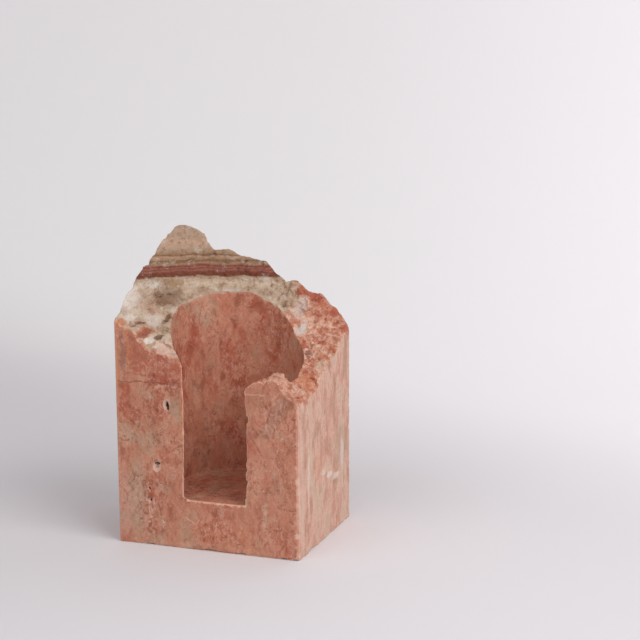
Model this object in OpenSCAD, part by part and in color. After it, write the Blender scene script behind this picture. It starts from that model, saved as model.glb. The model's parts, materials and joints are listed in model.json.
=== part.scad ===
// Holder made from one block of banded stone. The base and the four sides are sawn flat, the
// top is left as it broke, and a drilled well breaks out through the front as a tall window.
// The origin is on the table under the middle of the block, +Z is up and the window faces -Y.

/* [Sawn block] */
// Width of the block from left to right
block_w = 141; // [128:1:170]
// Depth of the block from front to back
block_d = 113; // [106:1:140]
// Width of the eased band on each upright corner
corner_ease = 1.5; // [1:0.5:6]

/* [Broken top] */
// Height of the stone at its front left corner
front_left_h = 163; // [150:1:200]
// Height of the stone at its front right corner
front_right_h = 112; // [100:1:150]
// Height of the stone at its back right corner
back_right_h = 149; // [130:1:190]
// Height of the stone at its back left corner, the peak of the block
back_left_h = 223; // [190:1:260]
// How far the middle of the top is dished below the slope between the corners
dish_depth = 6; // [0:0.5:10]
// Width of the facets that the broken surface is made of
facet_w = 2.5; // [2.5:0.5:6]
// Depth of the large lumps of the broken surface
lump_depth = 1.3; // [0:0.1:3]
// Width of the flat planes that the stone split along
split_w = 9; // [6:0.5:20]
// How steeply those planes are tilted against the slope
split_tilt = 0.36; // [0:0.02:0.5]
// Depth of the fine grain of the broken surface
grain_depth = 0.6; // [0:0.1:1.5]
// Height of the main ledge, under the dark bed on the left of the top
main_ledge_h = 187.5; // [170:0.5:200]
// Thickness of the beds, each of which ends in a ledge
bed_t = 11; // [8:0.5:20]
// Half the height that the main ledge steps down
ledge_step = 1.8; // [0:0.1:2.5]

/* [Drilled well] */
// Diameter of the drilled well
well_dia = 96; // [86:1:100]
// Thickness of the stone under the well
floor_t = 36.5; // [20:0.5:60]
// Radius between the wall of the well and its floor
floor_fillet = 5; // [2:0.5:10]
// Thinnest stone between the well and the right side
right_wall = 15; // [10:0.5:25]
// Thinnest stone between the well and the back
back_wall = 22.5; // [18:0.5:25]
// Depth of the blunt flat on the two upright edges of the window
window_flat = 0.8; // [0.4:0.1:1.5]

/* [Voids in the front face] */
// Height of the upright slit
slit_h = 107.5; // [85:0.5:112]
// Distance of the slit from the left side
slit_from_left = 41; // [30:0.5:44]
// Length of the slit
slit_len = 8; // [4:0.5:14]
// Width of the slit
slit_w = 3; // [1:0.5:4]
// Height of the three-cornered hollow
hollow_h = 60; // [40:0.5:80]
// Distance of the hollow from the left side
hollow_from_left = 31.5; // [20:0.5:40]
// Width of the hollow
hollow_w = 7; // [3:0.5:10]
// How deep the slit and the hollow go
void_depth = 3.5; // [1:0.5:6]

/* [Chipped base] */
// Length of the large chip on the lower right edge
chip_len = 11; // [4:0.5:20]
// Height of the large chip
chip_h = 3; // [1:0.5:6]
// Distance from the front face to the middle of the large chip
chip_from_front = 29; // [15:1:45]
// Length of the small chip on the same edge
small_chip_len = 6; // [3:0.5:12]
// Height of the small chip
small_chip_h = 1.2; // [0.5:0.1:3]
// Distance from the middle of the large chip to the middle of the small one
chip_spacing = 40; // [20:1:50]

/* [Hidden] */

// Segments round the well and round its floor fillet
round_steps = 120;
fillet_steps = 48;

// Place of the well, set by the stone left at the right and behind it, and how far the drill
// stands above the peak of the block
drill_above = 60;
well_r = well_dia / 2;
well_x = block_w / 2 - right_wall - well_r;
well_y = block_d / 2 - back_wall - well_r;
front_y = -block_d / 2;

// Half width of the window where the blunt flats begin behind the front face
window_half_w = sqrt(pow(well_r, 2) - pow(front_y + window_flat - well_y, 2));

// How the four top edges depart from straight lines between the corners: each pair is a
// share of the edge's length, from left to right or front to back, and a height
front_breaks = [
    [0, 0], [0.04, -1.3], [0.09, 1.7], [0.125, -2.2], [0.17, -7.7], [0.26, -7.6], [0.305, -7.1],
    [0.35, -8.2], [0.385, -9.3], [0.725, -4.5], [0.745, 0], [0.795, 4], [0.815, 5.8],
    [0.865, 10.2], [0.895, 10.2], [0.918, 5.4], [0.957, 3.3], [1, 0]
];
right_breaks = [
    [0, 0], [0.09, -3.6], [0.12, -5.8], [0.155, -4.7], [0.205, -5.3], [0.305, -8.7],
    [0.37, -8.6], [0.405, -6], [0.435, -4.1], [0.56, -2], [0.63, -2.7], [0.72, -3.8],
    [0.83, 1.4], [0.92, -2.7], [1, 0]
];
left_breaks = [
    [0, 0], [0.025, 2.3], [0.095, 2.8], [0.125, 5.6], [0.185, 7.7], [0.25, 6.1], [0.3, 8.6],
    [0.36, 10.2], [0.42, 10.3], [0.485, 6.6], [0.54, 8.4], [0.72, 8], [0.845, 5.9],
    [0.975, 1.9], [1, 0]
];
back_breaks = [
    [0, 0], [0.03, 3], [0.08, 5.2], [0.155, 5.5], [0.167, 1.3], [0.205, -2.6], [0.245, 0.7],
    [0.285, 5.1], [0.325, 6], [0.365, 5.4], [0.45, 10.2], [0.525, 13.8], [0.565, 8.8],
    [0.65, 6], [0.66, 9.7], [0.695, 12.1], [0.765, 9.4], [0.81, 12.4], [0.85, 13.6],
    [0.88, 10.6], [0.93, 9], [0.98, 4.2], [1, 0]
];

// Knobs that stand up from the top: share of the width, share of the depth, radius, height
knobs = [
    [0.85, 0.15, 13, 9],
    [0.6, 0.84, 36, 7],
    [0.25, 0.55, 16, -3],
    [0.9, 0.7, 14, -3]
];
// Rims of the voids as shares of their width and height, anticlockwise seen from the front, then
// where their deepest point lies
slit_rim = [[0.05, 0.5], [-0.4, 0.3], [-0.5, -0.15], [-0.15, -0.5], [0.35, -0.25], [0.5, 0.2]];
slit_tip = [0.25, 0];
hollow_rim = [[-0.1, 0.45], [-0.5, 0.15], [-0.35, -0.4], [0.1, -0.55], [0.5, -0.1], [0.4, 0.35]];
hollow_tip = [0, 0.25];
hollow_tall_share = 0.8;
// How far a cutting shape stands proud of the face that it cuts
proud = 0.2;

// Distance from a sawn side over which an edge's breaks die out, and the dish sets in
break_reach = 22;
dish_reach = 25;
// How far a break line wanders sideways for each millimetre that it runs inwards
wander = 0.45;
// Distance from a sawn side within which knobs and lumps fade out, and the share left there
fade_w = 9;
edge_rough = 0.35;

// Seeded random heights that the lumps and the grain are read from
lattice_side = 64;
lumps = rands(-1, 1, pow(lattice_side, 2), 41);
grains = rands(-1, 1, pow(lattice_side, 2), 7);
lump_w = 13;
small_lump_w = 6;
small_lump_share = 0.5;
// Height of the other ledges' steps against the main one's, and how fast all of them die out
// from left to right
small_ledge_share = 0.5;
ledge_fade = 1.3;
// Tilt of the split planes on the banded left against the hackly right
left_split_share = 0.6;

// Grid lines over the block, with the first and last strip as wide as the corner ease
cols = round(block_w / facet_w);
rows = round(block_d / facet_w);

function mix(a, b, t) = a + (b - a) * t;
function smooth(t) = t * t * (3 - 2 * t);
function grid_line(i, n, length) =
    i == 0 ? 0 : i == n ? length : corner_ease + (i - 1) * (length - 2 * corner_ease) / (n - 2);

// A random height that varies smoothly from one cell of the given size to the next
function cell_value(values, i, j) =
    values[(i % lattice_side) + lattice_side * (j % lattice_side)];
function noise(values, x, y, cell) =
    let (a = x / cell, b = y / cell, i = floor(a), j = floor(b), s = smooth(a - i), t = smooth(b - j))
    mix(
        mix(cell_value(values, i, j), cell_value(values, i + 1, j), s),
        mix(cell_value(values, i, j + 1), cell_value(values, i + 1, j + 1), s),
        t
    );

// Height of the flawless slope between the four corners
function slope(u, v) =
    mix(mix(front_left_h, front_right_h, u), mix(back_left_h, back_right_h, u), v);

// One edge's breaks, at a place along it and a distance in from it
function edge_break(list, along, inwards, length, drift) =
    inwards >= break_reach ? 0
    : lookup((along + wander * drift * inwards) / length, list) * smooth(1 - inwards / break_reach);
function breaks(x, y) =
    let (drift = noise(grains, x, y, lump_w))
    edge_break(front_breaks, x, y, block_w, drift)
    + edge_break(back_breaks, x, block_d - y, block_w, drift)
    + edge_break(left_breaks, y, x, block_d, drift)
    + edge_break(right_breaks, y, block_w - x, block_d, drift);

// Heights of the knobs at a place on the top
function knob_heights(x, y) = [
    for (k = knobs)
        let (d = norm([x - k[0] * block_w, y - k[1] * block_d]) / k[2])
        d < 1 ? k[3] * pow(1 - d * d, 2) : 0
];
function total(list, i = 0) = i == len(list) ? 0 : list[i] + total(list, i + 1);

// Ledges where the flat-lying beds break, strongest on the left: the slope is levelled for one
// step on each side of a ledge's height, and is steeper from there to the middle of the beds
function ledge(h, u) =
    let (
        bed = round((h - main_ledge_h) / bed_t),
        off = h - main_ledge_h - bed * bed_t,
        step = ledge_step * max(0, 1 - ledge_fade * u) * (bed == 0 ? 1 : small_ledge_share)
    )
    abs(off) < step ? -off : -sign(off) * step * (bed_t / 2 - abs(off)) / (bed_t / 2 - step);

// Height above the slope of the plane that the stone split along at a place. Each square cell of
// the top has a point somewhere in it with a tilted plane through it, and the nearest point's
// plane is the one that shows.
function split_plane(x, y) =
    let (
        i = floor(x / split_w),
        j = floor(y / split_w),
        planes = [
            for (a = [i + 1:i + 3]) for (b = [j + 1:j + 3])
                let (
                    off = [
                        x / split_w - a + 1.5 - cell_value(lumps, a, b) / 2,
                        y / split_w - b + 1.5 - cell_value(grains, a, b) / 2
                    ],
                    tilt = [cell_value(lumps, b, a), cell_value(grains, b, a)]
                )
                [norm(off), off * tilt + cell_value(lumps, a + b, a) / 4]
        ],
        nearest = min([for (p = planes) p[0]])
    )
    split_w * [for (p = planes) if (p[0] == nearest) p[1]][0];

// Height of the broken top at a distance x from the left side and y from the front
function top_h(x, y) =
    let (
        u = x / block_w,
        v = y / block_d,
        inside = min(x, y, block_w - x, block_d - y),
        fade = smooth(min(1, inside / fade_w)),
        rough = lump_depth * (noise(lumps, x, y, lump_w)
                + small_lump_share * noise(grains, x, y, small_lump_w))
            + split_tilt * mix(left_split_share, 1, u) * split_plane(x, y)
            + grain_depth * noise(lumps, x, y, facet_w),
        dish = dish_depth * smooth(min(1, inside / dish_reach)),
        plain = slope(u, v) + breaks(x, y) - dish + fade * total(knob_heights(x, y))
    )
    plain + rough * mix(edge_rough, 1, fade) + fade * ledge(plain, u);

// The block before drilling: a net of facets on top, upright sawn sides and a flat base
module sawn_block() {
    // A grid corner sits in the middle of the eased band
    function pull(i, n) = i == 0 ? corner_ease / 2 : i == n ? -corner_ease / 2 : 0;
    function is_corner(i, j) = (i == 0 || i == cols) && (j == 0 || j == rows);
    function plan(i, j) = [
        grid_line(i, cols, block_w) + (is_corner(i, j) ? pull(i, cols) : 0),
        grid_line(j, rows, block_d) + (is_corner(i, j) ? pull(j, rows) : 0)
    ];
    function shift(p, h) = [p[0] - block_w / 2, p[1] - block_d / 2, h];
    function at(i, j) = i * (rows + 1) + j;
    top = [for (i = [0:cols]) for (j = [0:rows]) let (p = plan(i, j)) shift(p, top_h(p[0], p[1]))];

    // Grid places around the edge, anticlockwise seen from above
    rim = concat(
        [for (i = [0:cols - 1]) [i, 0]],
        [for (j = [0:rows - 1]) [cols, j]],
        [for (i = [cols:-1:1]) [i, rows]],
        [for (j = [rows:-1:1]) [0, j]]
    );
    base = [for (g = rim) shift(plan(g[0], g[1]), 0)];
    first = len(top);
    middle = first + len(base);

    // Each cell of the net is split along the diagonal that starts at the nearest corner
    function splits_up(i, j) = (i < cols / 2) == (j < rows / 2);
    net = [
        for (i = [0:cols - 1]) for (j = [0:rows - 1])
            let (a = at(i, j), b = at(i + 1, j), c = at(i + 1, j + 1), d = at(i, j + 1))
            each splits_up(i, j) ? [[a, c, b], [a, d, c]] : [[a, d, b], [b, d, c]]
    ];
    count = len(rim);
    sides = [
        for (k = [0:count - 1])
            let (n = (k + 1) % count)
            [first + k, at(rim[k][0], rim[k][1]), at(rim[n][0], rim[n][1]), first + n]
    ];
    underside = [for (k = [0:count - 1]) [middle, first + k, first + (k + 1) % count]];
    polyhedron(concat(top, base, [[0, 0, 0]]), concat(net, sides, underside), convexity = 4);
}

// The drilled hole with its rounded floor corner, open at the top
module well() {
    reach = back_left_h + drill_above - floor_t;
    translate([well_x, well_y, floor_t]) rotate_extrude($fn = round_steps) {
        square([well_r - floor_fillet, reach]);
        translate([0, floor_fillet]) square([well_r, reach - floor_fillet]);
        translate([well_r - floor_fillet, floor_fillet]) circle(floor_fillet, $fn = fillet_steps);
    }
}

// A thin cut that blunts the knife edges where the well breaks through the front face
module window_blunting() {
    translate([well_x - window_half_w, front_y - window_flat, floor_t + floor_fillet])
        cube([2 * window_half_w, 2 * window_flat, back_left_h]);
}

// A three-sided splinter knocked out of the lower right edge, a little proud of both faces
module base_chip(length, height, from_front) {
    translate([block_w / 2 + proud, front_y + from_front, -proud]) polyhedron(
        [[0, -length / 2, 0], [0, length / 2, 0], [0, 0, height + proud], [-height - proud, 0, 0]],
        [[0, 2, 1], [0, 3, 2], [1, 2, 3], [0, 1, 3]]
    );
}

// A natural void in the front face, which narrows from its rim to a point inside the stone
module front_void(rim, tip, size, from_left, height) {
    count = len(rim);
    outline = [for (p = rim) [p[0] * size[0], -proud, p[1] * size[1]]];
    sides = [for (k = [0:count - 1]) [k, (k + 1) % count, count]];
    translate([from_left - block_w / 2, front_y, height]) polyhedron(
        concat(outline, [[tip[0] * size[0], void_depth, tip[1] * size[1]]]),
        concat(sides, [[for (k = [count - 1:-1:0]) k]])
    );
}

module stone_block() {
    color([0.78, 0.56, 0.47]) difference() {
        sawn_block();
        well();
        window_blunting();
        front_void(slit_rim, slit_tip, [slit_w, slit_len], slit_from_left, slit_h);
        front_void(hollow_rim, hollow_tip, [hollow_w, hollow_tall_share * hollow_w],
            hollow_from_left, hollow_h);
        base_chip(chip_len, chip_h, chip_from_front);
        base_chip(small_chip_len, small_chip_h, chip_from_front + chip_spacing);
    }
}

stone_block();
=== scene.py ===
"""Looks of the drilled stone holder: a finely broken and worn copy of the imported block, its banded
stone, and the camera, lamps and backdrop. Lengths are in metres, and in millimetres where a name
ends in _mm."""

import json
import math

import bpy
import numpy as np
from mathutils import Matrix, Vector


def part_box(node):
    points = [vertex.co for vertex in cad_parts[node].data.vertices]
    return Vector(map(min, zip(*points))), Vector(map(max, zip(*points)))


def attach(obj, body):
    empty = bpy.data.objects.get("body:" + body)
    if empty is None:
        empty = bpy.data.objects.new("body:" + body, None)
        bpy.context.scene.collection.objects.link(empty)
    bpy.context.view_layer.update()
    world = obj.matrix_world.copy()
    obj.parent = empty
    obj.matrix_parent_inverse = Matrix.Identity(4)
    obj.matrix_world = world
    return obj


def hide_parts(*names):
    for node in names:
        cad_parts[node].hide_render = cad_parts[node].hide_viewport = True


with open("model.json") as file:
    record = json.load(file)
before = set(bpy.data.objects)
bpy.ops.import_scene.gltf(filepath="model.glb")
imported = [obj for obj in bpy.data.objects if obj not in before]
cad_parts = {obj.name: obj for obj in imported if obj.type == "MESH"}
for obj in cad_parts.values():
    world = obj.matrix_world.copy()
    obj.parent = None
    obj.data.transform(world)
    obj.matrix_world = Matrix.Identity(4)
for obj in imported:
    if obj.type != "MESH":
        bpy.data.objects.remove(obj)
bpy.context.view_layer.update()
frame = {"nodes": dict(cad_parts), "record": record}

MM = 0.001

# The block, as packed: its box, the drilled well, and the width of the eased band on its corners
NODE = "stone_block"
BOX_LOW, BOX_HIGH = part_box(NODE)
HALF_W = (BOX_HIGH.x - BOX_LOW.x) / 2
HALF_D = (BOX_HIGH.y - BOX_LOW.y) / 2
WELL = next(m for m in frame["record"]["mounts"] if m["name"] == "bottle_well")
WELL_X, WELL_Y = WELL["pos_m"][0], WELL["pos_m"][1]
WELL_R = WELL["dims"]["r_mm"] * MM
CORNER_EASE = 1.5 * MM

# Half the width of the window, which is where the well breaks out through the front
WINDOW_HALF_W = math.sqrt(WELL_R**2 - (HALF_D + WELL_Y) ** 2)

# The well's floor, and the radius of the corner round it, which the solid has larger
FLOOR_Z = 36.5 * MM
FLOOR_CORNER = 2 * MM

# The camera: where it stands, how it is turned in degrees, and its lens in millimetres
CAMERA_AT = (0.3983, -0.9250, 0.3258)
CAMERA_YAW, CAMERA_PITCH, CAMERA_ROLL = 19.69, 9.39, 0.26
CAMERA_LENS = 77.5

# The mesh: size of its net, and the most triangles that are kept
NET = 0.8 * MM
MOST_TRIANGLES = 190_000


def srgb(red, green, blue):
    """A colour written as 0 to 255 values, as the linear colour that shaders take."""
    def linear(value):
        share = value / 255
        return share / 12.92 if share <= 0.04045 else ((share + 0.055) / 1.055) ** 2.4
    return (linear(red), linear(green), linear(blue), 1.0)


def smooth(value):
    """Eases values between 0 and 1, and clamps the rest."""
    t = np.clip(value, 0, 1)
    return t * t * (3 - 2 * t)


# Random fields over points in space

HASH_STEPS = np.array([374761393, 668265263, 1274126177], np.uint64)
HASH_MIX = np.uint64(2246822519)
HASH_SHIFT = np.uint64(15)
HASH_TOP = np.uint64(0xFFFFFFFF)
LATTICE_START = 100_000


def lattice_value(cells, seed):
    """A repeatable number from 0 to 1 for each whole-number place."""
    places = (cells + LATTICE_START).astype(np.uint64)
    mixed = (places * HASH_STEPS).sum(-1) + np.uint64(seed * 97)
    for _ in range(2):
        mixed = ((mixed ^ (mixed >> HASH_SHIFT)) * HASH_MIX) & HASH_TOP
    return (mixed ^ (mixed >> HASH_SHIFT)).astype(float) / float(HASH_TOP)


def noise(points, size, seed):
    """Smooth noise from -1 to 1 with features of the given size, which may differ by axis."""
    scaled = points / np.asarray(size)
    cells = np.floor(scaled).astype(np.int64)
    ease = smooth(scaled - cells)
    total = np.zeros(len(points))
    for corner in np.ndindex(2, 2, 2):
        step = np.array(corner)
        weight = np.prod(np.where(step, ease, 1 - ease), axis=1)
        total += weight * lattice_value(cells + step, seed)
    return total * 2 - 1


def layered_noise(points, size, seed, layers=3):
    """Noise with finer layers added, each half as large and half as strong."""
    size = np.asarray(size, float)
    return sum(noise(points, size / 2**i, seed + i) / 2**i for i in range(layers))


def facets(points, size, seed):
    """Heights of a hackly fracture: each cell of space has its own tilted plane."""
    scaled = points / size
    cells = np.floor(scaled).astype(np.int64)
    nearest = np.full(len(points), np.inf)
    height = np.zeros(len(points))
    for step in np.ndindex(3, 3, 3):
        cell = cells + np.array(step) - 1
        offset = np.stack([lattice_value(cell, seed + k) for k in range(3)], axis=1)
        away = scaled - cell - offset
        distance = (away**2).sum(1)
        tilt = np.stack([lattice_value(cell, seed + k) for k in range(3, 6)], axis=1) - 0.5
        plane = (away * tilt).sum(1) + 0.5 * (lattice_value(cell, seed + 6) - 0.5)
        closer = distance < nearest
        nearest = np.where(closer, distance, nearest)
        height = np.where(closer, plane, height)
    return height * size


# Mesh tools

def read_points(mesh):
    points = np.zeros(len(mesh.vertices) * 3)
    mesh.vertices.foreach_get("co", points)
    return points.reshape(-1, 3)


def write_points(mesh, points):
    mesh.vertices.foreach_set("co", points.ravel())
    mesh.update()


def read_edges(mesh):
    edges = np.zeros(len(mesh.edges) * 2, np.int32)
    mesh.edges.foreach_get("vertices", edges)
    return edges.reshape(-1, 2)


def read_normals(mesh):
    normals = np.zeros(len(mesh.vertices) * 3)
    mesh.vertices.foreach_get("normal", normals)
    return normals.reshape(-1, 3)


def relaxed(points, edges, rounds):
    """Where the points go when each is drawn to the middle of its neighbours."""
    count = np.bincount(edges.ravel(), minlength=len(points))[:, None]
    for _ in range(rounds):
        total = np.stack([
            np.bincount(edges[:, 0], points[edges[:, 1], axis], len(points))
            + np.bincount(edges[:, 1], points[edges[:, 0], axis], len(points))
            for axis in range(3)
        ], axis=1)
        points = (points + total / count) / 2
    return points


def add_mesh(name, points, faces):
    """A piece in the scene, made from its points and faces."""
    mesh = bpy.data.meshes.new(name)
    mesh.from_pydata(points, [], faces)
    piece = bpy.data.objects.new(name, mesh)
    bpy.context.scene.collection.objects.link(piece)
    return piece


def apply_modifiers(piece):
    """Turns what the modifiers make of a piece into its mesh."""
    graph = bpy.context.evaluated_depsgraph_get()
    mesh = bpy.data.meshes.new_from_object(piece.evaluated_get(graph))
    piece.modifiers.clear()
    piece.data = mesh


# Places on the block

def well_distance(points):
    """How far each point lies outside the wall of the well."""
    return np.hypot(points[:, 0] - WELL_X, points[:, 1] - WELL_Y) - WELL_R


def side_distance(points):
    """How far each point lies inside the four sawn sides and their eased corners."""
    across = HALF_W - np.abs(points[:, 0])
    along = HALF_D - np.abs(points[:, 1])
    corner = (across + along - CORNER_EASE) / math.sqrt(2)
    return np.minimum(np.minimum(across, along), corner)


# How far inside the sawn and drilled faces the break starts, and over what width it grows to full
BREAK_FROM, BREAK_EASE = 0.3 * MM, 2.5 * MM
# Points this near the drilled wall are put on it
WALL_TRIM = 0.2 * MM


def top_share(points):
    """0 on the sawn and drilled faces, rising to 1 a few millimetres inside the broken top."""
    inside = np.minimum(side_distance(points), well_distance(points))
    above = points[:, 2] > FLOOR_Z + FLOOR_CORNER
    return smooth((inside - BREAK_FROM) / BREAK_EASE) * above


def trim_well(points):
    """Brings the net on the drilled wall back to a true cylinder."""
    away = well_distance(points)
    on_wall = (np.abs(away) < WALL_TRIM) & (points[:, 2] > FLOOR_Z + FLOOR_CORNER)
    radial = points[:, :2] - (WELL_X, WELL_Y)
    radial *= (WELL_R / np.linalg.norm(radial, axis=1))[:, None]
    points[:, :2] = np.where(on_wall[:, None], radial + (WELL_X, WELL_Y), points[:, :2])


# The form

# Lips of the flat-lying beds on the left of the top: height, and how far each stands out; in mm
LIPS_mm = [
    (161.0, 0.4), (171.0, 0.3), (176.5, 0.4), (187.5, 0.8), (191.5, 0.3),
    (194.0, 0.4), (198.5, 0.7), (204.0, 0.4), (210.0, 0.3), (216.5, 0.3),
]
# How soon a lip fades below and above its height, and the width of the step between the two
LIP_BELOW, LIP_ABOVE, LIP_STEP = 2.5 * MM, 2 * MM, 0.4 * MM

# Hollows in the broken top: middle, half size, depth; in mm. A depth below 0 makes a lump.
HOLLOWS_mm = [
    ((-55.4, -13.4, 178.8), (3.0, 3.8, 2.4), 2.6),
    ((-51.3, -4.6, 177.7), (1.8, 2.4, 1.8), 2.0),
    ((-43.2, -26.5, 163.5), (2.4, 6.0, 5.0), 1.6),
    ((-41.2, -44.2, 151.6), (2.6, 4.0, 2.2), 1.8),
    ((-48.5, -46.0, 156.8), (5.0, 8.0, 1.6), 1.4),
    ((48.0, 19.0, 142.0), (2.2, 2.6, 2.0), 1.5),
    ((56.0, 10.5, 136.5), (2.2, 3.0, 2.0), 1.8),
    ((44.0, 46.0, 166.5), (2.0, 3.0, 2.0), 1.6),
    ((50.0, -45.0, 131.5), (5.5, 6.0, 4.0), 1.7),
    ((43.0, -47.0, 127.5), (5.0, 7.0, 4.0), -1.4),
]


def bed_lips(points):
    """How far the lips of the beds stand out at each point."""
    height = points[:, 2] + 0.8 * MM * noise(points, 14 * MM, 3)
    height += 0.4 * MM * noise(points, 4 * MM, 4)
    total = np.zeros(len(points))
    for at, out in LIPS_mm:
        below = at * MM - height
        bulge = np.where(below > 0, np.exp(-below / LIP_BELOW), -np.exp(below / LIP_ABOVE))
        total += out * MM * bulge * np.minimum(1, np.abs(below) / LIP_STEP)
    return total


def hollows(points):
    """How deep the hollows go at each point."""
    ragged = 0.35 * noise(points, 1.7 * MM, 82)
    total = np.zeros(len(points))
    for middle, half, depth in HOLLOWS_mm:
        reach = np.linalg.norm((points / MM - middle) / half, axis=1) + ragged
        total += depth * MM * smooth(1.5 * (1 - reach))
    return total


# The beds on the left give way to hackly stone on the right along a slanting line: how far right it
# lies in the middle of the block, its slant, and the width of the change
BEDS_END, BEDS_SLANT, BEDS_FADE = 14 * MM, 0.55, 40 * MM
# Sizes of the facets and of the grain
HACKLE, CRUMB, GRAIN = 4.2 * MM, 1.9 * MM, 1.8 * MM


def break_top(points, normals):
    """Adds the small facets, lips and grain of the broken surface, which are finer on the left."""
    share = top_share(points)
    left = smooth((BEDS_END - points[:, 0] + BEDS_SLANT * points[:, 1]) / BEDS_FADE)
    swerve = 0.4 * MM * noise(points, 3 * MM, 5)[:, None]
    hackles = facets(points + swerve, HACKLE, 29) * (0.75 - 0.25 * left)
    crumbs = facets(points + swerve, CRUMB, 57) * (0.65 - 0.15 * left)
    grain = layered_noise(points, GRAIN, 51) * 0.12 * MM
    height = hackles + crumbs + grain + bed_lips(points) * left - hollows(points)
    points += normals * (height * share)[:, None]


# Rounds of relaxing that blunt an edge a little, and that take a chip out of it
BLUNT_ROUNDS, CHIP_ROUNDS = 6, 40


def wear_edges(points, edges):
    """Rounds the sawn and drilled edges a little and knocks small chips out of them."""
    fine = relaxed(points, edges, BLUNT_ROUNDS) - points
    wide = relaxed(points, edges, CHIP_ROUNDS) - points
    bites = smooth((noise(points, 4.5 * MM, 71) - 0.1) / 0.6)
    bites *= 0.7 + 0.5 * noise(points, 1.6 * MM, 72)
    nicks = 0.8 + 0.9 * noise(points, 2.2 * MM, 73)
    flat = 1 - top_share(points)
    points += fine * (nicks * flat)[:, None] + wide * (bites * flat)[:, None]


# The left front corner is crisper than the other three: up to how deep its ease and wear are taken
# back, and how far from the corner that fades out
CRISP_DEPTH = 8 * MM
CRISP_REACH = 9 * MM


def sharpen_left_corner(points):
    """Draws the points near the left front corner out to the two sawn faces."""
    across = points[:, 0] + HALF_W
    along = points[:, 1] + HALF_D
    least = np.minimum(across, along)
    away = np.maximum(across, along)
    share = smooth(1 - least / CRISP_DEPTH) * smooth(1.5 * (1 - away / CRISP_REACH))
    points[:, :2] -= (least * share)[:, None]


# The upright edges of the window, left and right, as they are moved after the wear: how far out each
# goes at the sill and from WANDER_RISE above it, and how far it swings to and fro; in mm
WANDER_mm = [(3.6, 1.7, 1.5), (-1.6, -1.5, 1.7)]
WANDER_RISE = 50 * MM
# How far round an edge the stone follows, and how far above the sill the move is full
WANDER_REACH = 5 * MM
WANDER_FOOT = 3 * MM


def fray_window(points):
    """Makes the upright edges of the window wavy where the drill broke out."""
    upright = smooth((points[:, 2] - FLOOR_Z) / WANDER_FOOT)
    rise = np.clip((points[:, 2] - FLOOR_Z) / WANDER_RISE, 0, 1)
    for side, (at_sill, above, swing) in zip((-1, 1), WANDER_mm):
        edge = np.array((WELL_X + side * WINDOW_HALF_W, -HALF_D))
        near = smooth(1 - np.linalg.norm(points[:, :2] - edge, axis=1) / WANDER_REACH)
        along = points * (0, 0, 1) + (side, 0, 0)
        wave = 0.7 * noise(along, 13 * MM, 91) + 0.6 * noise(along, 3.2 * MM, 92)
        outwards = at_sill + (above - at_sill) * rise + swing * wave
        points[:, 0] += side * MM * near * upright * outwards


# Holes in the sawn front: middle, half size along X and Z, depth, lean to the right; in mm
PITS_mm = [
    ((-29.8, 104.2), (1.4, 4.6), 3.6, -0.12),
    ((-31.8, 105.5), (1.7, 4.4), 0.9, 0.0),
    ((-38.8, 61.6), (3.2, 1.5), 1.6, 0.0),
    ((-39.6, 58.0), (3.6, 3.0), 0.8, 0.0),
    ((-45.6, 42.6), (1.4, 1.8), 2.4, 0.0),
    ((-47.4, 35.0), (1.1, 2.4), 1.6, 0.2),
    ((-44.8, 33.5), (1.3, 2.0), 2.0, -0.2),
    ((-44.0, 28.0), (1.1, 2.2), 1.4, -0.2),
    ((-43.8, 22.0), (1.3, 1.1), 1.5, 0.0),
    ((-46.0, 17.5), (1.3, 0.9), 1.2, 0.0),
    ((-34.2, 19.0), (1.2, 1.8), 1.5, 0.3),
    ((-36.0, 46.0), (0.9, 1.1), 1.0, 0.0),
    ((44.0, 49.0), (0.9, 1.4), 1.1, 0.0),
    ((58.6, 88.0), (1.0, 1.0), 1.0, 0.0),
]


# Points this near the front face are taken to lie on it
FRONT_SKIN = 1.2 * MM


def dig_pits(points):
    """Sinks the holes into the front face."""
    front = (points[:, 1] + HALF_D < FRONT_SKIN).astype(float)
    ragged = 0.3 * noise(points, 1.5 * MM, 81)
    for (x, z), (half_x, half_z), depth, lean in PITS_mm:
        up = points[:, 2] - z * MM
        across = points[:, 0] - x * MM - lean * up
        reach = np.hypot(across / (half_x * MM), up / (half_z * MM)) + ragged
        points[:, 1] += front * depth * MM * smooth(1.6 * (1 - reach))


# The cutter that brings the floor corner to its radius: how far it stays off the wall and floor, how
# high it reaches, and the segments round it and in its corner
CUT_GAP = 0.02 * MM
CUT_H = 8 * MM
CUT_ROUND, CUT_CORNER = 180, 8


def floor_cutter():
    """A round plug that fills the foot of the well and has the corner's real radius."""
    reach, foot = WELL_R - CUT_GAP, FLOOR_Z + CUT_GAP
    profile = []
    for step in range(CUT_CORNER + 1):
        turn = math.pi / 2 * step / CUT_CORNER
        inwards = FLOOR_CORNER * (1 - math.sin(turn))
        upwards = FLOOR_CORNER * (1 - math.cos(turn))
        profile.append((reach - inwards, foot + upwards))
    profile.append((reach, foot + CUT_H))

    around = [2 * math.pi * k / CUT_ROUND for k in range(CUT_ROUND)]
    points = [
        (WELL_X + r * math.cos(angle), WELL_Y + r * math.sin(angle), z)
        for r, z in profile for angle in around
    ]
    underside = list(range(CUT_ROUND))[::-1]
    upper_side = [len(points) - CUT_ROUND + k for k in range(CUT_ROUND)]
    faces = [underside, upper_side]
    for ring in range(len(profile) - 1):
        for k in range(CUT_ROUND):
            this = ring * CUT_ROUND + k
            beside = ring * CUT_ROUND + (k + 1) % CUT_ROUND
            faces.append((this, beside, beside + CUT_ROUND, this + CUT_ROUND))
    return add_mesh("floor_cutter", points, faces)


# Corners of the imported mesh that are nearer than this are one
WELD_GAP = 0.001 * MM
# How far the finished stone stays inside the block's box on every side but the underside
BOX_MARGIN = 0.01 * MM
# Rounds of relaxing that take the steps of the net out of the broken top
SOFTEN_ROUNDS = 4
# How much more the large faces count where they set the shading
EVEN_WEIGHT = 80


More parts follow.
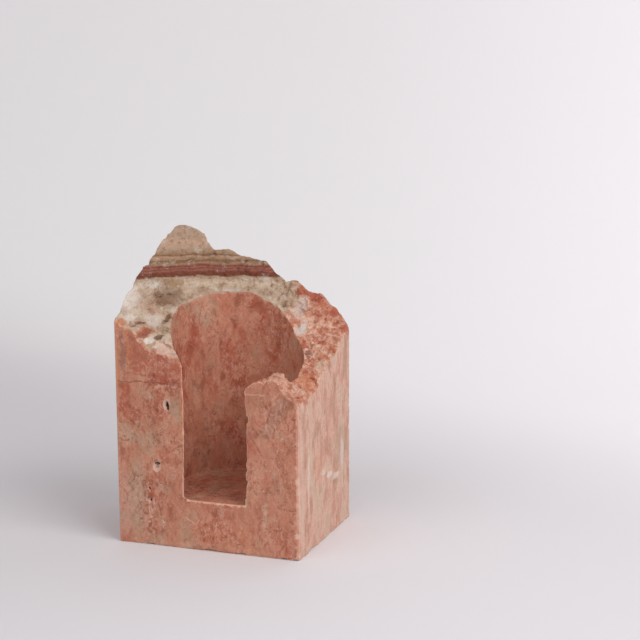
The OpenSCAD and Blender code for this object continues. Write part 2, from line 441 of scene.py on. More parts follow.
def netted_copy():
    """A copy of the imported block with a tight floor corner, and with an even net over all of it."""
    piece = bpy.data.objects.new("stone", frame["nodes"][NODE].data.copy())
    bpy.context.scene.collection.objects.link(piece)
    weld = piece.modifiers.new("weld", "WELD")
    weld.merge_threshold = WELD_GAP
    cutter = floor_cutter()
    cut = piece.modifiers.new("cut", "BOOLEAN")
    cut.operation = "DIFFERENCE"
    cut.solver = "EXACT"
    cut.object = cutter
    net = piece.modifiers.new("net", "REMESH")
    net.mode = "VOXEL"
    net.voxel_size = NET
    apply_modifiers(piece)
    bpy.data.objects.remove(cutter)
    return piece


def work_stone(mesh):
    """Breaks, wears and pits the net, and keeps it inside the block's box."""
    points = read_points(mesh)
    edges = read_edges(mesh)
    trim_well(points)
    softened = relaxed(points, edges, SOFTEN_ROUNDS)
    points += (softened - points) * top_share(points)[:, None]
    write_points(mesh, points)
    break_top(points, read_normals(mesh))
    wear_edges(points, edges)
    sharpen_left_corner(points)
    fray_window(points)
    dig_pits(points)
    lowest = np.array(BOX_LOW) + BOX_MARGIN * np.array((1, 1, 0))
    highest = np.array(BOX_HIGH) - BOX_MARGIN
    write_points(mesh, np.clip(points, lowest, highest))


def thin_out(piece):
    """Joins triangles of the net until no more are left than may be kept."""
    triangles = sum(len(face.vertices) - 2 for face in piece.data.polygons)
    if triangles > MOST_TRIANGLES:
        thin = piece.modifiers.new("thin", "DECIMATE")
        thin.ratio = MOST_TRIANGLES / triangles
        apply_modifiers(piece)


def make_stone():
    """The visible block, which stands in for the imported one."""
    piece = netted_copy()
    work_stone(piece.data)
    thin_out(piece)
    piece.data.shade_smooth()
    even = piece.modifiers.new("even", "WEIGHTED_NORMAL")
    even.weight = EVEN_WEIGHT
    piece.data.materials.clear()
    piece.data.materials.append(stone_material())
    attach(piece, "root")
    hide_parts(NODE)


# The stone's colours

SALMON = srgb(191, 126, 100)
LIGHT_SALMON = srgb(201, 137, 111)
BRICK = srgb(176, 96, 72)
DEEP_BRICK = srgb(142, 78, 58)
BROWN_SALMON = srgb(172, 114, 90)
BEIGE = srgb(180, 142, 116)
TAN = srgb(160, 126, 96)
SAND = srgb(192, 157, 131)
ROSE = srgb(208, 160, 142)
PALE_PINK = srgb(224, 186, 168)
PEACH = srgb(236, 190, 164)
ORANGE = srgb(200, 124, 86)
APRICOT = srgb(208, 152, 124)
IVORY = srgb(204, 180, 156)
PUTTY = srgb(178, 149, 127)
CRYSTAL = srgb(208, 197, 188)
CHALK = srgb(228, 214, 203)
MAUVE = srgb(156, 98, 82)
WINE = srgb(126, 68, 54)
RUST = srgb(118, 60, 40)
UMBER = srgb(124, 88, 64)
DARK = srgb(58, 36, 26)


class Shading:
    """Short calls that add nodes to a material and join them."""

    def __init__(self, name):
        self.material = bpy.data.materials.new(name)
        self.material.use_nodes = True
        self.tree = self.material.node_tree
        self.tree.nodes.clear()

    def add(self, kind, inputs=None, **settings):
        node = self.tree.nodes.new(kind)
        for name, value in settings.items():
            setattr(node, name, value)
        for name, value in (inputs or {}).items():
            self.put(node.inputs[name], value)
        return node

    def put(self, socket, value):
        """Joins another node's output to the socket, or sets it to a constant."""
        if isinstance(value, bpy.types.NodeSocket):
            self.tree.links.new(value, socket)
        else:
            socket.default_value = value

    def math(self, operation, first, second=0.0):
        return self.add("ShaderNodeMath", {0: first, 1: second}, operation=operation).outputs[0]

    def plus(self, first, second):
        return self.math("ADD", first, second)

    def minus(self, first, second):
        return self.math("SUBTRACT", first, second)

    def times(self, first, second):
        return self.math("MULTIPLY", first, second)

    def least(self, first, second):
        return self.math("MINIMUM", first, second)

    def most(self, first, second):
        return self.math("MAXIMUM", first, second)

    def vector(self, operation, first, second=(0, 0, 0)):
        node = self.add("ShaderNodeVectorMath", {0: first, 1: second}, operation=operation)
        return node.outputs["Value" if operation in ("LENGTH", "DOT_PRODUCT") else "Vector"]

    def stretch(self, vector, size):
        """The vector in steps of the given size in millimetres, which may differ by axis."""
        return self.vector("MULTIPLY", vector, tuple(1 / s for s in size))

    def noise(self, vector, size, detail=2.0, roughness=0.5, distortion=0.0, output="Fac"):
        """Noise about 0.5, with features of the given size, which may differ by axis."""
        sizes = size if isinstance(size, tuple) else (size,) * 3
        node = self.add("ShaderNodeTexNoise", {
            "Vector": self.stretch(vector, sizes), "Scale": 1.0, "Detail": detail,
            "Roughness": roughness, "Distortion": distortion,
        })
        return node.outputs[output]

    def ramp(self, value, low_at, high_at):
        """0 below low_at, 1 above high_at, eased between; low_at may be the higher one."""
        node = self.add("ShaderNodeMapRange", {
            "Value": value, "From Min": low_at, "From Max": high_at, "To Min": 0.0, "To Max": 1.0,
        }, interpolation_type="SMOOTHSTEP")
        return node.outputs["Result"]

    def crease(self, value, width):
        """1 along the line where a noise passes through its middle, 0 a little way off."""
        off = self.math("ABSOLUTE", self.minus(value, 0.5))
        return self.ramp(off, width, 0.0)

    def tint(self, share, strength, colour, tint):
        """The colour drawn towards the tint by a share times a strength."""
        return self.mix(self.times(share, strength), colour, tint)

    def mix(self, share, first, second, blend="MIX"):
        node = self.add("ShaderNodeMix", data_type="RGBA", blend_type=blend)
        self.put(node.inputs[0], share)
        self.put(node.inputs[6], first)
        self.put(node.inputs[7], second)
        return node.outputs[2]

    def colours(self, value, stops):
        """The colour that a value from 0 to 1 has on a band of coloured stops."""
        node = self.add("ShaderNodeValToRGB", {"Fac": value})
        band = node.color_ramp
        while len(band.elements) < len(stops):
            band.elements.new(0.5)
        for element, (at, colour) in zip(band.elements, stops):
            element.position = at
            element.color = colour
        return node.outputs["Color"]

    def shine(self, surface):
        """Makes the surface the material's own, and hands the material over."""
        output = self.add("ShaderNodeOutputMaterial")
        self.put(output.inputs["Surface"], surface.outputs["BSDF"])
        return self.material


# Coloured patches: middle, half size, lean about Y in degrees, width of the faded edge as a share
# of the size, colour, strength; in mm
FRONT = -HALF_D / MM
RIGHT = HALF_W / MM
PATCHES_mm = [
    # Front face, left of the window
    ((-52, FRONT, 140), (9, 6, 12), 0, 0.4, BRICK, 0.75),
    ((-28, FRONT, 137), (16, 6, 5), 28, 0.3, BRICK, 0.8),
    ((-32, FRONT, 129), (12, 6, 8), 0, 0.6, BRICK, 0.35),
    ((-64, FRONT, 142), (2.4, 6, 20), 0, 0.5, MAUVE, 0.6),
    ((-68.5, FRONT, 140), (1.3, 6, 30), 0, 0.4, ORANGE, 0.8),
    ((-59.8, FRONT, 143), (1.4, 6, 17), 0, 0.4, ORANGE, 0.75),
    ((-42, FRONT, 121.5), (26, 6, 0.6), -2, 0.5, WINE, 0.6),
    ((-50, FRONT, 126.5), (14, 6, 0.5), 3, 0.5, WINE, 0.4),
    ((-25, FRONT, 105), (5, 6, 6), 0, 0.6, BEIGE, 0.6),
    ((-25, FRONT, 118), (6, 6, 6), 20, 0.6, DEEP_BRICK, 0.45),
    ((-46, FRONT, 113), (9, 6, 5), 8, 0.7, BEIGE, 0.45),
    ((-34, FRONT, 119), (5, 6, 1.2), -12, 0.6, ROSE, 0.6),
    ((-58, FRONT, 97), (7, 6, 5), 10, 0.5, BRICK, 0.6),
    ((-40, FRONT, 84), (10, 6, 12), 30, 0.8, BEIGE, 0.25),
    ((-56, FRONT, 36), (8, 6, 29), 2, 0.8, BEIGE, 0.7),
    ((-56, FRONT, 42), (5, 6, 20), 2, 0.9, SAND, 0.55),
    ((-55, FRONT, 13), (5, 6, 8), 0, 0.6, SAND, 0.45),
    ((-65, FRONT, 32), (4, 6, 26), 0, 0.7, ROSE, 0.5),
    ((-33, FRONT, 43), (6, 6, 4), 0, 0.7, BEIGE, 0.5),
    ((-45.5, FRONT, 28), (0.7, 6, 10), -10, 0.8, PALE_PINK, 0.5),
    ((-42.5, FRONT, 31), (0.6, 6, 7), 8, 0.8, PALE_PINK, 0.5),
    ((-18.4, FRONT, 90), (1.3, 6, 46), 0, 0.5, ORANGE, 0.6),
    # Front face, below and right of the window
    ((-11, FRONT, 26), (3.5, 6, 4), 25, 0.6, BEIGE, 0.7),
    ((-13, FRONT, 21), (4, 6, 0.8), 30, 0.5, PALE_PINK, 0.7),
    ((-9, FRONT, 17), (0.8, 6, 6), 20, 0.5, PALE_PINK, 0.6),
    ((12, FRONT, 14), (26, 6, 9), 0, 0.8, ORANGE, 0.4),
    ((45, FRONT, 31), (2.0, 6, 10), 4, 0.4, SAND, 0.85),
    ((45.6, FRONT, 34), (1.0, 6, 6), 4, 0.6, IVORY, 0.75),
    ((40, FRONT, 11), (3, 6, 5), -20, 0.8, SAND, 0.5),
    ((46, FRONT, 52), (2.2, 6, 11), 5, 0.6, BRICK, 0.6),
    ((37, FRONT, 84), (0.9, 6, 12), -32, 0.6, DEEP_BRICK, 0.75),
    ((33, FRONT, 72), (2.5, 6, 22), 0, 0.7, BRICK, 0.45),
    ((57, FRONT, 90), (5, 6, 3.2), 20, 0.9, SAND, 0.6),
    ((61, FRONT, 112), (8, 6, 9), 40, 0.6, BROWN_SALMON, 0.8),
    ((50, -46, 130), (9, 7, 6), 0, 0.9, SALMON, 0.55),
    ((40, FRONT, 112), (11, 6, 8), 0, 0.8, BROWN_SALMON, 0.6),
    ((37, FRONT, 117.5), (11, 6, 0.5), -3, 0.8, PALE_PINK, 0.45),
    ((52, FRONT, 56), (20, 6, 62), 0, 0.6, LIGHT_SALMON, 0.35),
    ((10, FRONT, 18), (34, 6, 17), 0, 0.6, LIGHT_SALMON, 0.35),
    ((10, FRONT, 2.5), (52, 6, 3.5), 0, 0.6, APRICOT, 0.35),
    ((36, FRONT, 56), (6, 6, 18), 0, 0.8, APRICOT, 0.45),
    ((52, FRONT, 100), (5, 6, 17), 30, 0.7, PUTTY, 0.35),
    ((62, FRONT, 112), (5, 6, 6), 40, 0.6, DEEP_BRICK, 0.35),
    ((4, FRONT, 22), (12, 6, 1.2), -25, 0.8, BRICK, 0.6),
    ((20, FRONT, 14), (10, 6, 1.5), 35, 0.8, BRICK, 0.5),
    ((-4, FRONT, 9), (9, 6, 1.2), 20, 0.8, BRICK, 0.5),
    # Right face
    ((RIGHT, 34, 62), (6, 14, 16), 0, 0.8, PUTTY, 0.5),
    ((RIGHT, -6, 51.5), (6, 7, 2.2), 0, 0.8, CHALK, 0.6),
    ((RIGHT, 8, 46.5), (6, 7, 2.2), 0, 0.8, CHALK, 0.7),
    ((RIGHT, 22, 42), (6, 7, 2.2), 0, 0.8, CHALK, 0.6),
    ((RIGHT, 37, 56), (6, 3.5, 12), 0, 0.8, CHALK, 0.6),
    ((RIGHT, -32, 62), (6, 5, 20), 0, 0.8, IVORY, 0.5),
    ((RIGHT, -14, 58), (6, 8, 12), 0, 0.7, APRICOT, 0.5),
    ((RIGHT, 8, 96), (6, 10, 16), 0, 0.9, ROSE, 0.4),
    ((RIGHT, -50, 52), (6, 6, 62), 0, 0.7, PALE_PINK, 0.35),
    ((RIGHT, -47, 40), (6, 1.0, 40), 0, 0.7, IVORY, 0.5),
    ((RIGHT, -36, 50), (6, 1.6, 26), 0, 0.7, CHALK, 0.55),
    # Broken top, on the left
    # The next two patches are painted light: paler at the far left as a painted highlight, darker
    # towards the well as painted shade.
    ((-69, -36, 177), (7, 13, 10), 0, 1.4, CHALK, 0.8),
    ((-48, -8, 177), (9, 16, 10), 0, 1.3, UMBER, 0.6),
    ((-54, -27, 170), (5, 8, 6), 0, 1.2, MAUVE, 0.35),
    ((-63, -12, 185.5), (7, 7, 2.6), 0, 0.6, CRYSTAL, 0.8),
    ((-51, 6, 184.5), (7, 10, 3.2), 0, 0.6, TAN, 0.8),
    ((-43, 8, 177), (4, 9, 4), 0, 0.5, IVORY, 0.7),
    ((-52, -15, 173.5), (4.5, 7, 4), 0, 0.7, UMBER, 0.65),
    ((-62, -32, 172), (2.4, 5, 3), 0, 0.5, ROSE, 0.6),
    ((-50, -34, 163), (5, 8, 5), 0, 0.7, CHALK, 0.5),
    ((-43, -26, 163), (2.6, 6, 4.5), 15, 0.4, UMBER, 0.85),
    ((-57, -46, 161.5), (8, 8, 0.9), -8, 0.4, RUST, 0.8),
    ((-51, -49, 155), (8, 9, 3.6), -28, 0.5, BRICK, 0.85),
    ((-53, -47, 157.5), (3, 9, 1.2), -25, 0.4, ORANGE, 0.5),
    ((-41, -43.5, 152), (2.6, 5, 1.6), 0, 0.3, UMBER, 0.85),
    ((-45, -51, 148.2), (5, 6, 3.4), -20, 0.3, SAND, 0.9),
    ((-46, -50, 150.4), (4, 5, 2.2), -20, 0.4, CHALK, 0.85),
    ((-61.5, -47.5, 166), (6, 6, 3.4), 0, 1.0, CHALK, 0.7),
    ((-51, -49, 154.6), (6, 8, 2.6), -28, 0.6, WINE, 0.35),
    ((-32, -50, 145.5), (9, 9, 5), 28, 0.4, PALE_PINK, 0.75),
    ((-33, -50, 147.5), (6, 9, 0.9), 28, 0.7, TAN, 0.7),
    # The next two patches are painted shade, dark in the two deepest hollows dug in the top.
    ((-55.2, -13, 178.6), (2.2, 3.0, 1.9), 0, 0.4, DARK, 0.95),
    ((-51.2, -4.5, 177.6), (1.5, 2.2, 1.4), 0, 0.4, DARK, 0.9),
    ((-56.5, -15, 177.6), (4, 4, 2.8), 0, 0.6, UMBER, 0.6),
    ((-66, -53, 163), (3.6, 6, 2.6), 0, 0.5, ORANGE, 0.7),
    ((-61, -50, 161), (3, 6, 2.6), 0, 0.5, PEACH, 0.6),
    # Broken top, on the right
    ((33, 56, 176), (5, 9, 9), 20, 0.5, BRICK, 0.9),
    ((45, 54, 171), (6.5, 9, 3.8), 30, 0.4, BRICK, 0.95),
    ((42, 53, 168.5), (1.3, 4, 1.2), 0, 0.4, DARK, 0.85),
    ((51, 55, 166), (4, 8, 2.6), 30, 0.5, ORANGE, 0.7),
    ((59, 54, 160), (3, 8, 4.5), 35, 0.5, BRICK, 0.8),
    ((67, 53, 147), (4.5, 8, 6), 35, 0.5, BRICK, 0.9),
    ((50, 55, 167), (26, 9, 8), 32, 0.9, BRICK, 0.5),
    ((35, 42, 163), (4.5, 9, 13), 12, 0.9, CRYSTAL, 0.55),
    ((41, 30, 152), (2.8, 7, 8), 12, 0.6, CRYSTAL, 0.85),
    ((34, 32, 153), (2.4, 7, 6), 0, 0.6, BRICK, 0.6),
    ((48, 18, 141), (4.5, 6, 4), 0, 0.6, BRICK, 0.75),
    ((55, 10, 136.5), (3, 4, 2), 0, 0.5, WINE, 0.75),
    ((66, 2, 130), (4, 6, 5), 0, 0.6, IVORY, 0.55),
    ((61, -20, 120), (7, 10, 6), 0, 0.7, ORANGE, 0.5),
    ((67, -41, 112.5), (5, 6, 2.2), 20, 0.5, BRICK, 0.7),
    ((57, -48, 121), (6, 6, 1.4), 38, 0.5, PEACH, 0.4),
    ((50, -46, 122), (9, 8, 5), 30, 0.7, BRICK, 0.35),
]


# How far a patch's edge strays, as a share of the patch's size
FRAY = 1.6


def patch_reach(make, place, middle, half, lean):
    """How far a place lies from the middle of a patch, as a share of the patch's size."""
    off = make.vector("SUBTRACT", place, middle)
    if lean:
        along, aside = math.cos(math.radians(lean)), math.sin(math.radians(lean))
        off = make.add("ShaderNodeCombineXYZ", {
            "X": make.vector("DOT_PRODUCT", off, (along, 0, -aside)),
            "Y": make.vector("DOT_PRODUCT", off, (0, 1, 0)),
            "Z": make.vector("DOT_PRODUCT", off, (aside, 0, along)),
        }).outputs[0]
    return make.vector("LENGTH", make.stretch(off, half))


def add_patches(make, place, ragged, colour):
    """Lays each patch over the colour, with an edge that frays into specks."""
    specks = make.noise(place, 2.2, detail=4, roughness=0.7)
    fray = make.times(make.minus(specks, 0.5), FRAY)
    for middle, half, lean, faded, tint, strength in PATCHES_mm:
        reach = make.plus(patch_reach(make, ragged, middle, half, lean), fray)
        share = make.ramp(reach, 1 + faded / 2, 1 - faded / 2)
        colour = make.tint(share, strength, colour, tint)
    return colour


# Hairlines: size of the noise whose middle value they follow, width, colour and strength
HAIRLINES = [
    ((34, 34, 15), 0.014, WINE, 0.8),
    ((19, 19, 24), 0.013, UMBER, 0.6),
    ((27, 27, 40), 0.013, PALE_PINK, 0.4),
    ((14, 14, 10), 0.020, PALE_PINK, 0.2),
    ((12, 12, 17), 0.016, WINE, 0.4),
]


def add_hairlines(make, place, share, colour):
    """Thin dark and pale lines that come and go and break up, each kind at its own scale."""
    gaps = make.ramp(make.noise(place, 3.2, detail=2), 0.42, 0.56)
    share = make.times(share, gaps)
    for size, width, tint, strength in HAIRLINES:
        line = make.crease(make.noise(place, size, detail=4, roughness=0.6), width)
        zone_size = tuple(0.8 * s for s in size)
        zone = make.ramp(make.noise(place, zone_size, detail=2), 0.5, 0.62)
        line = make.times(make.times(line, zone), share)
        colour = make.tint(line, strength, colour, tint)
    return colour


def sawn_colour(make, ragged):
    """Clouded salmon stone with brick and beige fields."""
    clouds = make.noise(ragged, (25, 25, 33), detail=3, roughness=0.55)
    colour = make.colours(clouds, [(0.36, BEIGE), (0.46, SALMON), (0.54, SALMON), (0.64, BRICK)])
    patchy = make.noise(ragged, (9, 9, 14), detail=3, roughness=0.6)
    colour = make.tint(make.ramp(patchy, 0.52, 0.66), 0.6, colour, APRICOT)
    return make.tint(make.ramp(patchy, 0.47, 0.32), 0.55, colour, DEEP_BRICK)


def add_mottle(make, place, ragged, share, colour):
    """Small pale and dark clouds and specks over the fields of a sawn face, busier in some places."""
    busy = make.ramp(make.noise(ragged, (17, 17, 24), detail=2), 0.42, 0.62)
    strength = make.times(share, make.plus(0.3, make.times(busy, 0.5)))
    mottle = make.noise(place, (3.6, 3.6, 6.0), detail=4, roughness=0.65, distortion=0.8)
    colour = make.tint(make.ramp(mottle, 0.48, 0.72), strength, colour, ROSE)
    colour = make.tint(make.ramp(mottle, 0.50, 0.30), strength, colour, DEEP_BRICK)
    specks = make.noise(place, 1.8, detail=2, roughness=0.6)
    colour = make.tint(make.ramp(specks, 0.61, 0.82), strength, colour, PALE_PINK)
    return make.tint(make.ramp(specks, 0.38, 0.25), strength, colour, RUST)


def right_face_colour(make, place, side, colour):
    """The paler right face, drawn with broken upright streaks."""
    broad = make.noise(place, (40, 13, 22), detail=4, roughness=0.6)
    pale = make.colours(broad, [(0.34, BEIGE), (0.44, ROSE), (0.54, PALE_PINK), (0.66, IVORY)])
    streaks = make.noise(place, (40, 3.0, 15), detail=3, roughness=0.65)
    pale = make.tint(make.ramp(streaks, 0.47, 0.34), 0.5, pale, SALMON)
    pale = make.tint(make.ramp(streaks, 0.54, 0.68), 0.6, pale, IVORY)
    flecks = make.noise(place, (1.8, 1.8, 3.0), detail=3, roughness=0.7)
    pale = make.tint(make.ramp(flecks, 0.46, 0.34), 0.35, pale, MAUVE)
    pale = make.tint(make.ramp(flecks, 0.54, 0.66), 0.4, pale, IVORY)
    return make.tint(side, 0.85, colour, pale)


# The beds on the left of the top: the heights that their colours cover, the height at which each
# colour is pure, and where the cream beds end under the dark red ones; in mm
BEDS_FROM, BEDS_TO = 140.0, 225.0
BEDS_mm = [
    (BEDS_FROM, PUTTY), (150, IVORY), (158, PUTTY), (166, IVORY), (176, PUTTY), (183, IVORY),
    (187.8, PUTTY), (188.3, UMBER), (188.8, RUST), (190.4, RUST), (191.4, WINE), (192.4, MAUVE),
    (193.4, WINE), (194.4, MAUVE), (195.6, RUST), (196.4, MAUVE), (197.4, TAN), (199.4, UMBER),
    (200.4, TAN), (202.4, BEIGE), (203.4, UMBER), (204.6, TAN), (208, PUTTY), (213, SAND),
    (218, PUTTY),
]
CREAM_FADES, CREAM_FULL = 188.2, 186.5
# How much the beds rise for each millimetre from front to back, and where that is nothing
BEDS_TILT, BEDS_LEVEL_AT = -0.055, 18


def bed_height(make, place):
    """The height of a place within the beds, which tilt and waver."""
    split = make.add("ShaderNodeSeparateXYZ", {0: place})
    shift = make.minus(make.noise(place, (17, 17, 5), detail=4, roughness=0.65), 0.5)
    tilt = make.times(make.minus(split.outputs["Y"], BEDS_LEVEL_AT), BEDS_TILT)
    level_z = make.minus(split.outputs["Z"], tilt)
    return make.plus(level_z, make.times(shift, 5.0))


def bed_colour(make, place, ragged):
    """The flat-lying beds on the left of the top: cream, a dark red band, and tan streaks above."""
    height = bed_height(make, place)
    level = make.math("DIVIDE", make.minus(height, BEDS_FROM), BEDS_TO - BEDS_FROM)
    stops = [((at - BEDS_FROM) / (BEDS_TO - BEDS_FROM), tint) for at, tint in BEDS_mm]
    colour = make.colours(level, stops)
    cream = make.ramp(height, CREAM_FADES, CREAM_FULL)
    blotches = make.noise(ragged, (11, 11, 7), detail=4, roughness=0.65)
    colour = make.tint(make.times(make.ramp(blotches, 0.5, 0.62), cream), 0.75, colour, TAN)
    colour = make.tint(make.times(make.ramp(blotches, 0.6, 0.7), cream), 0.7, colour, UMBER)
    colour = make.tint(make.times(make.ramp(blotches, 0.44, 0.34), cream), 0.7, colour, CRYSTAL)
    above = make.minus(1.0, cream)
    colour = make.tint(make.times(make.ramp(blotches, 0.54, 0.7), above), 0.4, colour, UMBER)
    colour = make.tint(make.times(make.ramp(blotches, 0.44, 0.32), above), 0.4, colour, CRYSTAL)
    spots = make.noise(ragged, 3.6, detail=4, roughness=0.7)
    colour = make.tint(make.ramp(spots, 0.54, 0.7), 0.6, colour, UMBER)
    return make.tint(make.times(make.ramp(spots, 0.45, 0.3), cream), 0.55, colour, IVORY)


def hackly_colour(make, place, ragged):
    """The rough right of the top: apricot stone, peppered with brick, pale and dark grains."""
    lumps = make.noise(ragged, 8, detail=4, roughness=0.65)
    stops = [(0.34, BRICK), (0.43, SALMON), (0.50, APRICOT), (0.61, PALE_PINK)]
    colour = make.colours(lumps, stops)
    grains = make.noise(place, 3.0, detail=4, roughness=0.8)
    colour = make.tint(make.ramp(grains, 0.47, 0.34), 0.85, colour, BRICK)
    colour = make.tint(make.ramp(grains, 0.53, 0.66), 0.8, colour, PALE_PINK)
    pepper = make.noise(place, 1.4, detail=2, roughness=0.6)
    return make.tint(make.ramp(pepper, 0.37, 0.29), 0.8, colour, UMBER)


# The slanting line from which the top's colour is hackly stone, and where it is so in full; in mm
HACKLY_FROM, HACKLY_FULL = 4, 14


def broken_colour(make, place, ragged):
    """The broken top: beds on the left, hackly stone on the right."""
    split = make.add("ShaderNodeSeparateXYZ", {0: ragged})
    across = make.minus(split.outputs["X"], make.times(split.outputs["Y"], BEDS_SLANT))
    hackly = make.ramp(across, HACKLY_FROM, HACKLY_FULL)
    return make.mix(hackly, bed_colour(make, place, ragged), hackly_colour(make, place, ragged))


# The lowest that the broken top comes to on the right, and how much higher it stays further left
TOP_LOW, TOP_RISE, TOP_RISE_FROM = 100, 0.5, 20
# The heights between which the beds come to show on the sawn sides too
SIDE_BEDS = (172, 186)


class Place:
    """Where a point of the stone lies, in mm, as values that the material's parts share."""

    def __init__(self, make):
        coordinates = make.add("ShaderNodeTexCoord").outputs["Object"]
        self.at = make.vector("MULTIPLY", coordinates, (1 / MM,) * 3)
        stray = make.noise(self.at, 7, detail=4, roughness=0.6, output="Color")
        stray = make.vector("SUBTRACT", stray, (0.5,) * 3)
        self.ragged = make.vector("ADD", self.at, make.vector("MULTIPLY", stray, (6,) * 3))

        self.x, self.y, self.z = make.add("ShaderNodeSeparateXYZ", {0: self.at}).outputs
        self.across = make.minus(HALF_W / MM, make.math("ABSOLUTE", self.x))
        self.along = make.minus(HALF_D / MM, make.math("ABSOLUTE", self.y))
        from_axis = make.vector("SUBTRACT", self.at, (WELL_X / MM, WELL_Y / MM, 0))
        from_axis = make.vector("LENGTH", make.vector("MULTIPLY", from_axis, (1, 1, 0)))
        out_of_well = make.minus(from_axis, WELL_R / MM)
        eased = make.minus(make.plus(self.across, self.along), CORNER_EASE / MM)
        inside = make.least(make.least(self.across, self.along), out_of_well)
        self.inside = make.least(inside, make.times(eased, math.sqrt(0.5)))

        leftward = make.most(make.minus(TOP_RISE_FROM, self.x), 0.0)
        above_low = make.minus(make.minus(self.z, TOP_LOW), make.times(leftward, TOP_RISE))
        self.at_top = make.ramp(above_low, 0, 4)
        self.broken = make.times(make.ramp(self.inside, 0.2, 0.7), self.at_top)
        self.in_hole = make.minus(1.0, self.at_top)
        self.right_side = make.ramp(self.x, RIGHT - 0.9, RIGHT - 0.3)


def face_colour(make, place):
    """The colours of the sawn and broken faces, with their patches, veins and mottling."""
    sawn = sawn_colour(make, place.ragged)
    sawn = right_face_colour(make, place.at, place.right_side, sawn)
    side_beds = make.times(make.ramp(place.z, *SIDE_BEDS), 0.8)
    banded = make.most(place.broken, side_beds)
    colour = make.mix(banded, sawn, broken_colour(make, place.at, place.ragged))
    colour = add_patches(make, place.at, place.ragged, colour)
    share = make.minus(1.0, make.times(place.right_side, 0.7))
    textured = add_hairlines(make, place.ragged, share, colour)
    textured = add_mottle(make, place.at, place.ragged, share, textured)
    return make.mix(place.broken, textured, colour)


def add_crushed_edges_and_painted_light(make, place, colour):
    """Crushed stone and painted highlights on the window, holes and upper rim; painted shade in
    holes.
    """
    # Pale along the window's sides and sill near the front: crushed stone, and a painted highlight on
    # the worn edges.
    aside = make.math("ABSOLUTE", make.minus(place.x, WELL_X / MM))
    aside = make.minus(aside, WINDOW_HALF_W / MM)
    below = make.minus(FLOOR_Z / MM, place.z)
    behind_front = make.plus(place.y, HALF_D / MM)
    crumbs = make.noise(place.at, 2.4, detail=3, roughness=0.7)
    crumbs = make.times(make.minus(crumbs, 0.5), 5.0)
    beside = make.ramp(make.plus(make.most(aside, below), crumbs), 1.5, 0.5)
    front_strip = make.ramp(behind_front, 1.5, 0.8)
    colour = make.tint(make.times(beside, front_strip), 0.65, colour, PEACH)

    # Pale round the rims of the holes and on worn edges: crushed stone, and a painted highlight. Dark
    # deeper in the holes: painted shade.
    rim_crumbs_and_highlight = make.times(make.ramp(place.inside, 0.1, 0.5), place.in_hole)
    colour = make.tint(rim_crumbs_and_highlight, 0.7, colour, PALE_PINK)
    hole_painted_shade = make.times(make.ramp(place.inside, 1.0, 2.0), place.in_hole)
    colour = make.tint(hole_painted_shade, 0.92, colour, DARK)

    # A faint painted highlight on the two front upright corners.
    corner = make.plus(place.across, behind_front)
    colour = make.tint(make.ramp(corner, 2.4, 1.5), 0.2, colour, PEACH)
    # A painted highlight along the upper edges of the front and back faces, broken up by the crumbs.
    rim_highlight = make.times(make.ramp(place.along, 1.8, 0.8), make.ramp(place.along, 0.1, 0.4))
    rim_highlight = make.times(make.times(rim_highlight, place.at_top), make.ramp(crumbs, -0.6, 0.8))
    return make.tint(rim_highlight, 0.5, colour, PEACH)


def stone_relief(make, place, grain):
    """The finest relief: grain, upright saw lines, and pocks in the broken top."""
    lines = make.noise(place.at, (1.3, 1.3, 60), detail=2)
    relief = make.plus(make.times(grain, 0.35), make.times(lines, 0.2))
    pocked = make.times(make.noise(place.at, 1.7, detail=4, roughness=0.8), place.broken)
    relief = make.plus(relief, make.times(pocked, 1.6))
    return make.add("ShaderNodeBump", {"Height": relief, "Strength": 0.6, "Distance": 0.4 * MM})


def stone_material():
    """Matt banded stone, solid all through: its colours follow the place in the block."""
    make = Shading("banded_stone")
    place = Place(make)
    colour = add_crushed_edges_and_painted_light(make, place, face_colour(make, place))
    grain = make.noise(place.at, 1.1, detail=4, roughness=0.75)
    shade = make.plus(make.times(grain, 0.6), 0.7)
    colour = make.mix(1.0, colour, shade, blend="MULTIPLY")
    bump = stone_relief(make, place, grain)
    return make.shine(make.add("ShaderNodeBsdfPrincipled", {
        "Base Color": colour, "Normal": bump.outputs["Normal"],
        "Roughness": make.plus(0.58, make.times(grain, 0.3)),
        "Specular IOR Level": 0.3,
    }))


# The stage

# The sheet: its front edge, where its flat part ends, the radius and steps of its sweep, the height
# to which it goes up, and half its width
STAGE_FRONT = -1.6
FLOOR_BACK = 0.55
SWEEP_R = 0.45
SWEEP_STEPS = 24
WALL_TOP = 2.4
STAGE_HALF_W = 2.4


def make_backdrop():
    """A pale sheet that runs along the table and curves up behind the holder."""
    profile = [(STAGE_FRONT, 0.0), (0.0, 0.0), (FLOOR_BACK, 0.0)]
    for i in range(1, SWEEP_STEPS + 1):
        angle = math.pi / 2 * i / SWEEP_STEPS
        profile.append((FLOOR_BACK + SWEEP_R * math.sin(angle), SWEEP_R * (1 - math.cos(angle))))
    profile.append((FLOOR_BACK + SWEEP_R, WALL_TOP))
    points = [(side * STAGE_HALF_W, y, z) for y, z in profile for side in (-1, 1)]
    faces = [(2 * i, 2 * i + 1, 2 * i + 3, 2 * i + 2) for i in range(len(profile) - 1)]
    backdrop = add_mesh("backdrop", points, faces)
    backdrop.data.shade_smooth()
    backdrop.data.materials.append(backdrop_material())


# The paper's colour at the left and the right, darker on the left as painted shade, and how far to
# either side of the middle it changes
PAPER_LEFT, PAPER_RIGHT = srgb(224, 220, 221), srgb(234, 230, 232)
PAPER_CHANGE = 0.3
# A painted glow, a whiteness that only the camera sees towards the back: how much, where it starts,
# where it is full, and how much nearer it comes further right
GLOW = 0.18
GLOW_FROM, GLOW_TO, GLOW_SLANT = 0.15, 0.6, 0.35


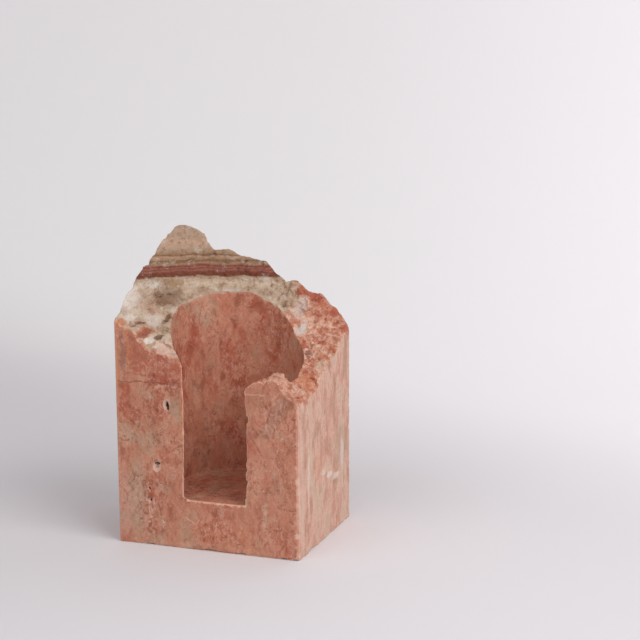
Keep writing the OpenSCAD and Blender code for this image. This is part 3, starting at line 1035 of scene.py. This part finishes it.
def backdrop_material():
    """Pale matt paper, darker on the left as painted shade, with a painted glow to the camera at the
    back.
    """
    make = Shading("backdrop_paper_painted_light")
    coordinates = make.add("ShaderNodeTexCoord").outputs["Object"]
    x, y, _ = make.add("ShaderNodeSeparateXYZ", {0: coordinates}).outputs
    paper = make.mix(make.ramp(x, -PAPER_CHANGE, PAPER_CHANGE), PAPER_LEFT, PAPER_RIGHT)
    back = make.plus(y, make.times(x, GLOW_SLANT))
    seen = make.add("ShaderNodeLightPath").outputs["Is Camera Ray"]
    glow = make.times(make.times(make.ramp(back, GLOW_FROM, GLOW_TO), GLOW), seen)
    return make.shine(make.add("ShaderNodeBsdfPrincipled", {
        "Base Color": paper, "Roughness": 0.9,
        "Emission Color": (1, 1, 1, 1), "Emission Strength": glow,
    }))


def make_camera():
    """A camera that looks at the holder as the photographer's did."""
    camera = bpy.data.objects.new("camera", bpy.data.cameras.new("camera"))
    camera.data.lens = CAMERA_LENS
    camera.location = CAMERA_AT
    turns = (90 - CAMERA_PITCH, CAMERA_ROLL, CAMERA_YAW)
    camera.rotation_euler = [math.radians(turn) for turn in turns]
    camera.data.clip_start = 0.01
    bpy.context.scene.collection.objects.link(camera)
    bpy.context.scene.camera = camera


# Where the middles of the softboxes point, and each one's name, place, size and power
AIM = (0, 0, 0.1)
SOFTBOXES = [
    ("softbox_left", (-0.7, -1.85, 1.5), 2.2, 14.5),
    ("softbox_right", (1.6, -0.7, 1.5), 1.5, 27),
]


def add_softbox(name, place, size, watts):
    """A square area lamp that faces the holder."""
    lamp = bpy.data.lights.new(name, "AREA")
    lamp.shape = "SQUARE"
    lamp.size = size
    lamp.energy = watts
    box = bpy.data.objects.new(name, lamp)
    box.location = place
    box.rotation_euler = (Vector(AIM) - Vector(place)).to_track_quat("-Z", "Y").to_euler()
    bpy.context.scene.collection.objects.link(box)


# The light from all round, and how bright the camera sees it where no sheet stands behind
ROUND_COLOUR = (0.95, 0.96, 1.0, 1.0)
ROUND_LIGHT, ROUND_SEEN = 0.41, 0.8


def light_stage():
    """Soft light from all round and from two softboxes."""
    world = bpy.data.worlds.new("studio")
    world.use_nodes = True
    tree = world.node_tree
    back = tree.nodes["Background"]
    back.inputs["Color"].default_value = ROUND_COLOUR
    path = tree.nodes.new("ShaderNodeLightPath")
    seen = tree.nodes.new("ShaderNodeMapRange")
    seen.inputs["To Min"].default_value = ROUND_LIGHT
    seen.inputs["To Max"].default_value = ROUND_SEEN
    tree.links.new(path.outputs["Is Camera Ray"], seen.inputs["Value"])
    tree.links.new(seen.outputs["Result"], back.inputs["Strength"])
    bpy.context.scene.world = world
    for softbox in SOFTBOXES:
        add_softbox(*softbox)


make_camera()
light_stage()
make_backdrop()
make_stone()
bpy.context.scene.view_settings.view_transform = "Standard"
